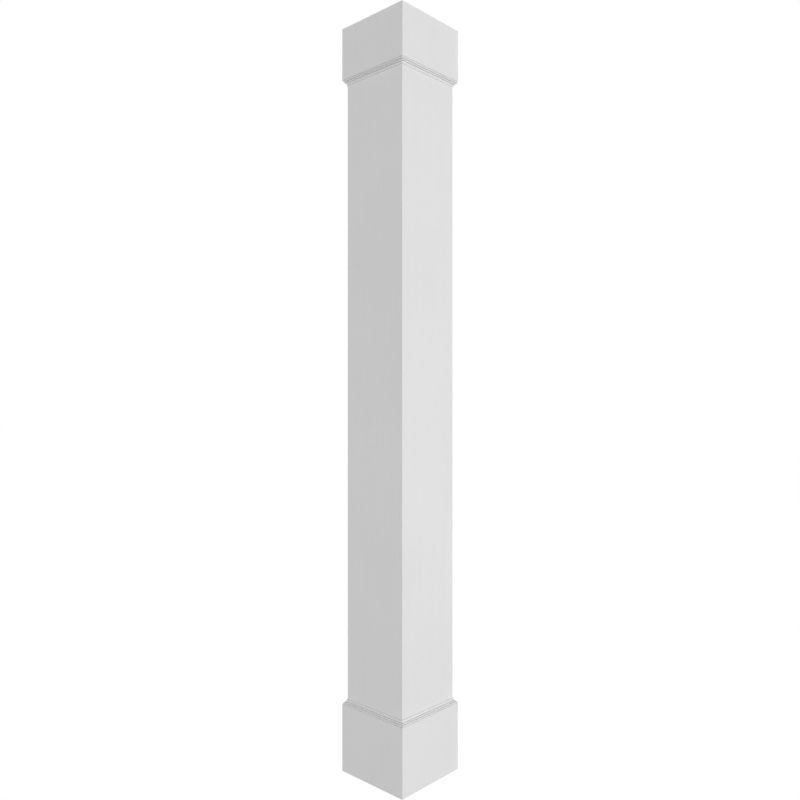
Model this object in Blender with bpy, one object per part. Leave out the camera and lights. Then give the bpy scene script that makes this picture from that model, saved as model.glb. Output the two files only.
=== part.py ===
"""Square column wrap in white cellular PVC: a hollow shaft of four mitred boards, with a boxed capital
and a boxed base round its ends, each finished against the shaft by a stepped moulding.

Units are metres. +Z is up, the origin is at the middle of the foot, and the front faces -Y.
"""

import math

import bmesh
import bpy

INCH = 0.0254

# Driving dimensions of the column
COLUMN_HEIGHT = 96 * INCH
SHAFT_WIDTH = 9.625 * INCH
BOARD_THICKNESS = 0.5 * INCH
CAPITAL_HEIGHT = 7.3 * INCH
BASE_HEIGHT = 9.3 * INCH

# The moulding between a box and the shaft: from its thick edge at the box, two square steps and then a
# round that thins to an edge on the shaft
MOULDING_HEIGHT = 0.66 * INCH
MOULDING_THICKNESS = 0.42 * INCH
STEP_DEPTH = 0.15 * INCH
NOSE_HEIGHT = 0.18 * INCH
MIDDLE_STEP_HEIGHT = 0.17 * INCH
EDGE_THICKNESS = 1 / 64 * INCH
ROUND_STEPS = 6

# How light the two plastics are, and how rough
BOARD_WHITE = 0.86
BOARD_ROUGHNESS = 0.5
MOULDING_WHITE = 0.87
MOULDING_ROUGHNESS = 0.45

# Glue joints: the clearance between two pieces that touch
JOINT_GAP = 0.0003
MITRE_SETBACK = JOINT_GAP / 2 * math.sqrt(2)

# How far each face stands from the column's axis
SHAFT_OUTER = SHAFT_WIDTH / 2
SHAFT_INNER = SHAFT_OUTER - BOARD_THICKNESS
TRIM_INNER = SHAFT_OUTER + JOINT_GAP
BOX_OUTER = SHAFT_OUTER + BOARD_THICKNESS

# The four sides, by the quarter turns that carry the front to them
SIDES = {"front": 0, "right": 1, "back": 2, "left": 3}


def clear_scene():
    for obj in list(bpy.data.objects):
        bpy.data.objects.remove(obj)


def pvc(name, white, roughness):
    """A neutral white plastic, as light as that value."""
    material = bpy.data.materials.new(name)
    material.use_nodes = True
    shader = material.node_tree.nodes["Principled BSDF"]
    shader.inputs["Base Color"].default_value = (white, white, white, 1)
    shader.inputs["Roughness"].default_value = roughness
    shader.inputs["Metallic"].default_value = 0
    return material


def board_profile(inner, outer, length):
    """Section of a board on the floor, as distances out from the axis and up from the floor."""
    return [(inner, 0), (outer, 0), (outer, length), (inner, length)]


def quarter_round(out, up, depth, height):
    """Points of a convex quarter ellipse, from (out, up) in by the depth and along by the height."""
    points = []
    for i in range(ROUND_STEPS + 1):
        angle = math.pi / 2 * i / ROUND_STEPS
        points.append((out - depth * (1 - math.cos(angle)), up + height * math.sin(angle)))
    return points


def moulding_profile(start):
    """Section of a moulding that starts at that height and steps in to the shaft."""
    nose_out = SHAFT_OUTER + MOULDING_THICKNESS
    middle_out = nose_out - STEP_DEPTH
    round_out = middle_out - STEP_DEPTH
    nose_end = start + NOSE_HEIGHT
    middle_end = nose_end + MIDDLE_STEP_HEIGHT
    end = start + MOULDING_HEIGHT
    round_depth = round_out - SHAFT_OUTER - EDGE_THICKNESS
    return [
        (TRIM_INNER, start),
        (nose_out, start),
        (nose_out, nose_end),
        (middle_out, nose_end),
        (middle_out, middle_end),
        *quarter_round(round_out, middle_end, round_depth, end - middle_end),
        (TRIM_INNER, end),
    ]


def hung_from_top(profile):
    """The same section turned over, so that it runs down from the top of the column."""
    return [(out, COLUMN_HEIGHT - up) for out, up in profile]


def mitred_side(name, profile, quarter_turns, material):
    """One side of a four-sided ring: the section runs along it and both ends are cut at 45 degrees."""
    mesh = bmesh.new()
    left_end = [mesh.verts.new((-(out - MITRE_SETBACK), -out, up)) for out, up in profile]
    right_end = [mesh.verts.new((out - MITRE_SETBACK, -out, up)) for out, up in profile]
    mesh.faces.new(left_end)
    mesh.faces.new(right_end)
    for i in range(len(profile)):
        after = (i + 1) % len(profile)
        mesh.faces.new((left_end[i], left_end[after], right_end[after], right_end[i]))
    bmesh.ops.recalc_face_normals(mesh, faces=mesh.faces)
    data = bpy.data.meshes.new(name)
    mesh.to_mesh(data)
    mesh.free()
    data.materials.append(material)
    obj = bpy.data.objects.new(name, data)
    obj.rotation_euler.z = quarter_turns * math.pi / 2
    bpy.context.scene.collection.objects.link(obj)
    return obj


def build_ring(name, profile, material):
    for side, quarter_turns in SIDES.items():
        mitred_side(f"{name}_{side}", profile, quarter_turns, material)


def build_column():
    board = pvc("pvc_board", BOARD_WHITE, BOARD_ROUGHNESS)
    trim = pvc("pvc_moulding", MOULDING_WHITE, MOULDING_ROUGHNESS)
    shaft = board_profile(SHAFT_INNER, SHAFT_OUTER, COLUMN_HEIGHT)
    base_trim_start = BASE_HEIGHT - MOULDING_HEIGHT
    base_box = board_profile(TRIM_INNER, BOX_OUTER, base_trim_start - JOINT_GAP)
    capital_trim_start = CAPITAL_HEIGHT - MOULDING_HEIGHT
    capital_box = board_profile(TRIM_INNER, BOX_OUTER, capital_trim_start - JOINT_GAP)
    build_ring("shaft_board", shaft, board)
    build_ring("base_board", base_box, board)
    build_ring("base_moulding", moulding_profile(base_trim_start), trim)
    build_ring("capital_board", hung_from_top(capital_box), board)
    build_ring("capital_moulding", hung_from_top(moulding_profile(capital_trim_start)), trim)


clear_scene()
build_column()
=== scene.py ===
"""The looks of the square column: each board and moulding as a finished piece of white cellular PVC, on a
plain pale floor in soft light, seen from the photograph's viewpoint.

Units are metres. +Z is up, the origin is at the middle of the foot, and the front faces -Y.
"""

import math

import bmesh
import bpy
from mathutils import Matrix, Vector


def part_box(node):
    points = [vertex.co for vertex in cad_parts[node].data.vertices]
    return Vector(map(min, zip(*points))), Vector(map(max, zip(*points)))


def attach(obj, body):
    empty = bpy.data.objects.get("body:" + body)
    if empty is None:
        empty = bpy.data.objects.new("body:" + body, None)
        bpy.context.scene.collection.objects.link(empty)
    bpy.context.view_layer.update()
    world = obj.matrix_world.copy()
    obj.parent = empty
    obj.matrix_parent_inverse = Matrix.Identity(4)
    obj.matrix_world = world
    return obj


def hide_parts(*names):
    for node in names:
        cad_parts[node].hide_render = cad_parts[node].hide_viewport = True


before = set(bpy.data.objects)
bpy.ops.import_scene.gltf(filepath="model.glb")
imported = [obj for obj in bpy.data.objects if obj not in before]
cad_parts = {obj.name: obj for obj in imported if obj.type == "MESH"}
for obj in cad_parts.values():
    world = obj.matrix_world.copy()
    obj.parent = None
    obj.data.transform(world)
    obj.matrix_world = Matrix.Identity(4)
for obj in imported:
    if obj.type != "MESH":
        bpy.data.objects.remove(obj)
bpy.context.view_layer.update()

INCH = 0.0254
MM = 0.001

# The solids that the pieces stand for. Each side faces outwards, so a low y is far from the axis.
SHAFT_LOW, SHAFT_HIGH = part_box("shaft_board_front")
BASE_LOW, BASE_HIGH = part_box("base_board_front")
BASE_MOULDING_LOW, BASE_MOULDING_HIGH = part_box("base_moulding_front")
CAPITAL_MOULDING_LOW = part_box("capital_moulding_front")[0]
COLUMN_HEIGHT = SHAFT_HIGH.z
SHAFT_OUTER = -SHAFT_LOW.y
SHAFT_INNER = -SHAFT_HIGH.y
BOX_OUTER = -BASE_LOW.y
BOX_INNER = -BASE_HIGH.y
NOSE_OUTER = -BASE_MOULDING_LOW.y
MOULDING_HEIGHT = BASE_MOULDING_HIGH.z - BASE_MOULDING_LOW.z
BASE_HEIGHT = BASE_MOULDING_HIGH.z
CAPITAL_HEIGHT = COLUMN_HEIGHT - CAPITAL_MOULDING_LOW.z

# The moulding's section: from its thick edge at the box, two square steps and then a round that thins to
# an edge on the shaft
STEP_DEPTH = 0.15 * INCH
NOSE_HEIGHT = 0.18 * INCH
MIDDLE_STEP_HEIGHT = 0.17 * INCH
EDGE_THICKNESS = 1 / 64 * INCH

# Finishing: how far each edge is eased, and how tight the glued joints are
ARRIS_RADIUS = 0.5 * MM
SAWN_EDGE = 0.5 * MM
MOULDED_EDGE = 0.35 * MM
MOULDED_HOLLOW = 0.2 * MM
FEATHERED_EDGE = 0.1 * MM
GLUE_LINE = 0.12 * MM
ROUND_STEPS = 6
ARRIS_STEPS = 4
SAME_POINT = 0.001 * MM
SMOOTH_BELOW = math.radians(35)

# How near to upright a face's normal is where the sheet was sawn square
SQUARE_CUT = 0.9

# The four sides, by the quarter turns that carry the front to them
SIDES = {"front": 0, "right": 1, "back": 2, "left": 3}

# The surfaces: each one's darkest and lightest tone and its lowest and highest roughness, and their IOR
# The sheet's and the moulding's colour between these tones is partly painted shade in the pits of their
# peel
SHEET_TONES = (0.81, 0.91)
SHEET_ROUGHNESS = (0.47, 0.57)
EXTRUDED_TONES = (0.82, 0.91)
EXTRUDED_ROUGHNESS = (0.35, 0.45)
SAWN_TONES = (0.80, 0.88)
SAWN_ROUGHNESS = (0.62, 0.78)
PVC_IOR = 1.53

# Noise: the middle of its values that is used, and how far apart the pieces lie in it
NOISE_LOW = 0.3
NOISE_HIGH = 0.7
NOISE_SPREAD = 40.0

# The camera, solved from the column's straight edges in the photograph
IMAGE_SIZE = 800
FOCAL_PIXELS = 764.5
SENSOR_WIDTH = 36
CAMERA_AZIMUTH = math.radians(43.09)
CAMERA_DISTANCE = 2.5205
CAMERA_HEIGHT = 1.2194
CAMERA_SIDESTEP = -0.7 * MM

# The light
AMBIENT_STRENGTH = 1.315
AMBIENT_FALLOFF = 3.0
SKY_GAIN = 0.45
KEY_STRENGTH = 0.79
KEY_AZIMUTH = math.radians(90)
KEY_ANGLE = math.radians(50)
FILL_STRENGTH = 0.62
FILL_AZIMUTH = math.radians(250)
FILL_ANGLE = math.radians(40)

# The floor
FLOOR_SIZE = 60
FLOOR_GLOW = 0.86
FLOOR_COLOUR = (0.4, 0.4, 0.4, 1)


def eased_outline(corners):
    """Section through the corners, each (out, up, reach back, reach ahead), rounded over those reaches.

    Where one rounding starts as the last one ends, their common point comes once.
    """
    outline = []
    for i, (out, up, reach_back, reach_ahead) in enumerate(corners):
        corner = Vector((out, up))
        back = (Vector(corners[i - 1][:2]) - corner).normalized() * reach_back
        ahead = (Vector(corners[(i + 1) % len(corners)][:2]) - corner).normalized() * reach_ahead
        for step in range(ROUND_STEPS + 1):
            angle = math.pi / 2 * step / ROUND_STEPS
            point = corner + back * (1 - math.sin(angle)) + ahead * (1 - math.cos(angle))
            if not outline or (point - outline[-1]).length > SAME_POINT:
                outline.append(point)
    return outline


def board_section(inner, outer, length):
    """Section of a board on the floor, as distances out from the axis and up from the floor."""
    corners = [(inner, 0), (outer, 0), (outer, length), (inner, length)]
    return eased_outline([(out, up, SAWN_EDGE, SAWN_EDGE) for out, up in corners])


def moulding_section(height):
    """Section of a moulding whose thin edge ends at that height."""
    inner = SHAFT_OUTER + GLUE_LINE
    middle = NOSE_OUTER - STEP_DEPTH
    round_out = middle - STEP_DEPTH
    start = height - MOULDING_HEIGHT
    nose_end = start + NOSE_HEIGHT
    middle_end = nose_end + MIDDLE_STEP_HEIGHT
    round_height = height - middle_end - MOULDED_HOLLOW
    round_depth = round_out - SHAFT_OUTER - EDGE_THICKNESS
    return eased_outline([
        (inner, start, MOULDED_HOLLOW, MOULDED_HOLLOW),
        (NOSE_OUTER, start, MOULDED_HOLLOW, MOULDED_HOLLOW),
        (NOSE_OUTER, nose_end, MOULDED_EDGE, MOULDED_EDGE),
        (middle, nose_end, MOULDED_HOLLOW, MOULDED_HOLLOW),
        (middle, middle_end, MOULDED_EDGE, MOULDED_EDGE),
        (round_out, middle_end, MOULDED_HOLLOW, MOULDED_HOLLOW),
        (round_out, height, round_height, round_depth),
        (inner, height, FEATHERED_EDGE, FEATHERED_EDGE),
    ])


def hung_from_top(section):
    """The same section turned over, so that it runs down from the top of the column."""
    return [(out, COLUMN_HEIGHT - up) for out, up in section]


def side_plan(out):
    """Plan of a side at that distance from the axis, from mitre to mitre, with its arrises eased."""
    centre = out - ARRIS_RADIUS
    mitre_angle = math.pi / 4 - GLUE_LINE / 2 / ARRIS_RADIUS
    right = []
    for step in range(ARRIS_STEPS + 1):
        angle = mitre_angle * step / ARRIS_STEPS
        right.append((centre + ARRIS_RADIUS * math.sin(angle), -centre - ARRIS_RADIUS * math.cos(angle)))
    left = [(-x, y) for x, y in reversed(right)]
    return left + right


def side_mesh(name, section):
    """A side: the section carried along the plan, closed by a flat mitre at each end."""
    mesh = bmesh.new()
    plans = [[mesh.verts.new((x, y, up)) for x, y in side_plan(out)] for out, up in section]
    stations = len(plans[0])
    for i, plan in enumerate(plans):
        after = plans[(i + 1) % len(plans)]
        for k in range(stations - 1):
            mesh.faces.new((plan[k], plan[k + 1], after[k + 1], after[k]))
    mesh.faces.new([plan[0] for plan in plans])
    mesh.faces.new([plan[-1] for plan in plans])
    bmesh.ops.recalc_face_normals(mesh, faces=mesh.faces)
    data = bpy.data.meshes.new(name)
    mesh.to_mesh(data)
    mesh.free()
    data.shade_smooth()
    data.set_sharp_from_angle(angle=SMOOTH_BELOW)
    return data


def finish_sawn_ends(data):
    """Gives the second material to the faces cut square at the foot or the top of the column."""
    for face in data.polygons:
        at_end = face.center.z < SAWN_EDGE / 2 or face.center.z > COLUMN_HEIGHT - SAWN_EDGE / 2
        if at_end and abs(face.normal.z) > SQUARE_CUT:
            face.material_index = 1


def build_ring(node, section, materials):
    """Four pieces on one section, in the places of the CAD nodes of that name."""
    for side, quarter_turns in SIDES.items():
        data = side_mesh(f"{node}_{side}_finished", section)
        for material in materials:
            data.materials.append(material)
        if len(materials) > 1:
            finish_sawn_ends(data)
        piece = bpy.data.objects.new(data.name, data)
        bpy.context.scene.collection.objects.link(piece)
        piece.rotation_euler.z = quarter_turns * math.pi / 2
        flats = piece.modifiers.new("flats stay flat", "WEIGHTED_NORMAL")
        flats.keep_sharp = True
        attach(piece, "root")
        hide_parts(f"{node}_{side}")


def add_node(tree, kind, values=None, **settings):
    """A shader node with these settings and these values on its inputs."""
    made = tree.nodes.new(kind)
    for name, value in settings.items():
        setattr(made, name, value)
    for name, value in (values or {}).items():
        made.inputs[name].default_value = value
    return made


def new_material(name, roughness):
    """An empty PVC material: its tree, its shader, and the point shaded, in the piece's own axes.

    The shader's own roughness is the middle of that range.
    """
    material = bpy.data.materials.new(name)
    material.use_nodes = True
    tree = material.node_tree
    shader = tree.nodes["Principled BSDF"]
    shader.inputs["Roughness"].default_value = sum(roughness) / 2
    shader.inputs["IOR"].default_value = PVC_IOR
    point = add_node(tree, "ShaderNodeTexCoord").outputs["Object"]
    return material, tree, shader, point


def noise(tree, point, per_metre, detail=2.0, stretch=(1, 1, 1)):
    """Noise that differs from piece to piece. A stretch below 1 draws it out along that axis."""
    mapping = add_node(tree, "ShaderNodeMapping", {"Scale": stretch})
    tree.links.new(point, mapping.inputs["Vector"])
    values = {"Scale": per_metre, "Detail": detail}
    texture = add_node(tree, "ShaderNodeTexNoise", values, noise_dimensions="4D")
    tree.links.new(mapping.outputs["Vector"], texture.inputs["Vector"])
    piece = add_node(tree, "ShaderNodeObjectInfo")
    spread = add_node(tree, "ShaderNodeMath", {1: NOISE_SPREAD}, operation="MULTIPLY")
    tree.links.new(piece.outputs["Random"], spread.inputs[0])
    tree.links.new(spread.outputs["Value"], texture.inputs["W"])
    return texture.outputs["Fac"]


def ranged(tree, value, low=0.0, high=1.0):
    """The middle of a noise's values, spread between low and high."""
    values = {"From Min": NOISE_LOW, "From Max": NOISE_HIGH, "To Min": low, "To Max": high}
    made = add_node(tree, "ShaderNodeMapRange", values)
    tree.links.new(value, made.inputs["Value"])
    return made.outputs["Result"]


def blended(tree, layers):
    """The sum of noises, each (value, share), with shares that add up to 1."""
    total = None
    for value, share in layers:
        made = add_node(tree, "ShaderNodeMath", {1: share, 2: 0.0}, operation="MULTIPLY_ADD")
        tree.links.new(value, made.inputs[0])
        if total:
            tree.links.new(total, made.inputs[2])
        total = made.outputs["Value"]
    return total


def tinted(tree, shader, value, dark, light):
    """Colours the surface a neutral white between two tones."""
    made = add_node(tree, "ShaderNodeMix", data_type="RGBA")
    made.inputs["A"].default_value = (dark, dark, dark, 1)
    made.inputs["B"].default_value = (light, light, light, 1)
    tree.links.new(value, made.inputs["Factor"])
    tree.links.new(made.outputs["Result"], shader.inputs["Base Color"])


def raised(tree, shader, layers):
    """Raises the surface by each layer's (height value, height in metres)."""
    normal = None
    for value, height in layers:
        bump = add_node(tree, "ShaderNodeBump", {"Strength": 1.0, "Distance": height})
        tree.links.new(value, bump.inputs["Height"])
        if normal:
            tree.links.new(normal, bump.inputs["Normal"])
        normal = bump.outputs["Normal"]
    tree.links.new(normal, shader.inputs["Normal"])


def sheet_pvc():
    """Face of a cellular PVC sheet: satin, with a faint orange peel, fine streaks of the rollers, and
    painted shade in the pits of the peel.
    """
    material, tree, shader, point = new_material("sheet_pvc", SHEET_ROUGHNESS)
    cloud = noise(tree, point, per_metre=3)
    peel = noise(tree, point, per_metre=420, detail=3)
    streaks = noise(tree, point, per_metre=260, stretch=(1, 1, 0.012))
    # The colour: a random cloud, the rollers' streaks, and painted shade that darkens the pits of the peel
    mottle_and_pit_shade = blended(tree, [(cloud, 0.3), (peel, 0.5), (streaks, 0.2)])
    tinted(tree, shader, ranged(tree, mottle_and_pit_shade), *SHEET_TONES)
    tree.links.new(ranged(tree, streaks, *SHEET_ROUGHNESS), shader.inputs["Roughness"])
    raised(tree, shader, [(peel, 0.2 * MM), (streaks, 0.08 * MM)])
    return material


def extruded_pvc():
    """Face of a PVC moulding: a little smoother than the sheet, with die lines along its length, and
    painted shade in the pits of its peel.
    """
    material, tree, shader, point = new_material("extruded_pvc", EXTRUDED_ROUGHNESS)
    cloud = noise(tree, point, per_metre=5)
    peel = noise(tree, point, per_metre=600)
    die_lines = noise(tree, point, per_metre=900, stretch=(0.006, 1, 1))
    # The colour: a random cloud, the die lines, and painted shade that darkens the pits of the peel
    mottle_and_pit_shade = blended(tree, [(cloud, 0.3), (peel, 0.3), (die_lines, 0.4)])
    tinted(tree, shader, ranged(tree, mottle_and_pit_shade), *EXTRUDED_TONES)
    tree.links.new(ranged(tree, die_lines, *EXTRUDED_ROUGHNESS), shader.inputs["Roughness"])
    raised(tree, shader, [(peel, 0.08 * MM), (die_lines, 0.06 * MM)])
    return material


def sawn_pvc():
    """Sawn end of a PVC sheet: its fine closed cells, cut open, and the marks of the saw's teeth."""
    material, tree, shader, point = new_material("sawn_pvc", SAWN_ROUGHNESS)
    cells = add_node(tree, "ShaderNodeTexVoronoi", {"Scale": 1600.0})
    tree.links.new(point, cells.inputs["Vector"])
    saw_marks = noise(tree, point, per_metre=1100, detail=1, stretch=(0.03, 1, 1))
    tinted(tree, shader, ranged(tree, saw_marks), *SAWN_TONES)
    tree.links.new(ranged(tree, saw_marks, *SAWN_ROUGHNESS), shader.inputs["Roughness"])
    raised(tree, shader, [(cells.outputs["Distance"], 0.12 * MM), (saw_marks, 0.06 * MM)])
    return material


def build_column():
    sheet = sheet_pvc()
    extruded = extruded_pvc()
    sawn = sawn_pvc()
    shaft = board_section(SHAFT_INNER, SHAFT_OUTER, COLUMN_HEIGHT)
    base_box = board_section(BOX_INNER, BOX_OUTER, BASE_HEIGHT - MOULDING_HEIGHT - GLUE_LINE)
    capital_box = board_section(BOX_INNER, BOX_OUTER, CAPITAL_HEIGHT - MOULDING_HEIGHT - GLUE_LINE)
    build_ring("shaft_board", shaft, [sheet, sawn])
    build_ring("base_board", base_box, [sheet, sawn])
    build_ring("base_moulding", moulding_section(BASE_HEIGHT), [extruded])
    build_ring("capital_board", hung_from_top(capital_box), [sheet, sawn])
    capital_moulding = hung_from_top(moulding_section(CAPITAL_HEIGHT))
    build_ring("capital_moulding", capital_moulding, [extruded])


def build_floor():
    """A plain floor, almost white, that takes a faint shadow. It adds no light to the column."""
    bpy.ops.mesh.primitive_plane_add(size=FLOOR_SIZE)
    floor = bpy.context.object
    floor.name = "floor"
    floor.visible_diffuse = False
    floor.visible_glossy = False
    floor.visible_shadow = False
    material = bpy.data.materials.new("pale_floor")
    material.use_nodes = True
    shader = material.node_tree.nodes["Principled BSDF"]
    shader.inputs["Base Color"].default_value = FLOOR_COLOUR
    shader.inputs["Roughness"].default_value = 1.0
    shader.inputs["Specular IOR Level"].default_value = 0.0
    shader.inputs["Emission Color"].default_value = (1, 1, 1, 1)
    shader.inputs["Emission Strength"].default_value = FLOOR_GLOW
    floor.data.materials.append(material)


def build_surroundings():
    """A white backdrop, which lights the column most from the horizon.

    Away from the horizon its light falls off by a power of 1 - z^2, and above it is a little brighter.
    """
    world = bpy.data.worlds.new("studio")
    bpy.context.scene.world = world
    world.use_nodes = True
    tree = world.node_tree
    tree.nodes.clear()
    direction = add_node(tree, "ShaderNodeTexCoord").outputs["Generated"]
    axes = add_node(tree, "ShaderNodeSeparateXYZ")
    tree.links.new(direction, axes.inputs["Vector"])
    square = add_node(tree, "ShaderNodeMath", operation="MULTIPLY")
    tree.links.new(axes.outputs["Z"], square.inputs[0])
    tree.links.new(axes.outputs["Z"], square.inputs[1])
    level = add_node(tree, "ShaderNodeMath", {0: 1.0}, operation="SUBTRACT")
    tree.links.new(square.outputs["Value"], level.inputs[1])
    falloff = add_node(tree, "ShaderNodeMath", {1: AMBIENT_FALLOFF}, operation="POWER")
    tree.links.new(level.outputs["Value"], falloff.inputs[0])
    above = add_node(tree, "ShaderNodeMath", {1: 0.0}, operation="MAXIMUM")
    tree.links.new(axes.outputs["Z"], above.inputs[0])
    gain = add_node(tree, "ShaderNodeMath", {1: AMBIENT_STRENGTH * SKY_GAIN, 2: AMBIENT_STRENGTH},
                    operation="MULTIPLY_ADD")
    tree.links.new(above.outputs["Value"], gain.inputs[0])
    strength = add_node(tree, "ShaderNodeMath", operation="MULTIPLY")
    tree.links.new(falloff.outputs["Value"], strength.inputs[0])
    tree.links.new(gain.outputs["Value"], strength.inputs[1])
    light = add_node(tree, "ShaderNodeBackground")
    tree.links.new(strength.outputs["Value"], light.inputs["Strength"])
    backdrop = add_node(tree, "ShaderNodeBackground", {"Color": (1, 1, 1, 1), "Strength": 1.0})
    shown = add_node(tree, "ShaderNodeMixShader")
    tree.links.new(add_node(tree, "ShaderNodeLightPath").outputs["Is Camera Ray"], shown.inputs["Fac"])
    tree.links.new(light.outputs["Background"], shown.inputs[1])
    tree.links.new(backdrop.outputs["Background"], shown.inputs[2])
    output = add_node(tree, "ShaderNodeOutputWorld")
    tree.links.new(shown.outputs["Shader"], output.inputs["Surface"])


def from_azimuth(azimuth):
    """Level direction from the column towards that azimuth, 0 in front and 90 on the right."""
    return Vector((math.sin(azimuth), -math.cos(azimuth), 0))


def build_light(name, strength, azimuth, angle):
    """A broad, soft, level light from that azimuth."""
    light = bpy.data.lights.new(name, "SUN")
    light.energy = strength
    light.angle = angle
    lamp = bpy.data.objects.new(name, light)
    bpy.context.scene.collection.objects.link(lamp)
    lamp.rotation_mode = "QUATERNION"
    lamp.rotation_quaternion = from_azimuth(azimuth).to_track_quat("Z", "Y")


def build_lights():
    """The key makes the right side the brighter one. The fill parts the tones of the left and the back."""
    build_light("key", KEY_STRENGTH, KEY_AZIMUTH, KEY_ANGLE)
    build_light("fill", FILL_STRENGTH, FILL_AZIMUTH, FILL_ANGLE)


def build_camera():
    """A level camera at half the column's height."""
    data = bpy.data.cameras.new("camera")
    data.sensor_width = SENSOR_WIDTH
    data.lens = FOCAL_PIXELS / IMAGE_SIZE * SENSOR_WIDTH
    camera = bpy.data.objects.new("camera", data)
    bpy.context.scene.collection.objects.link(camera)
    back = from_azimuth(CAMERA_AZIMUTH)
    right = Vector((math.cos(CAMERA_AZIMUTH), math.sin(CAMERA_AZIMUTH), 0))
    camera.location = back * CAMERA_DISTANCE + right * CAMERA_SIDESTEP + Vector((0, 0, CAMERA_HEIGHT))
    camera.rotation_mode = "QUATERNION"
    camera.rotation_quaternion = back.to_track_quat("Z", "Y")
    bpy.context.scene.camera = camera


def set_tones():
    """Plain tones, so that a white surface in full light is as white as the backdrop."""
    settings = bpy.context.scene.view_settings
    settings.view_transform = "Standard"
    settings.look = "None"
    settings.exposure = 0
    settings.gamma = 1


build_camera()
build_column()
build_floor()
build_surroundings()
build_lights()
set_tones()
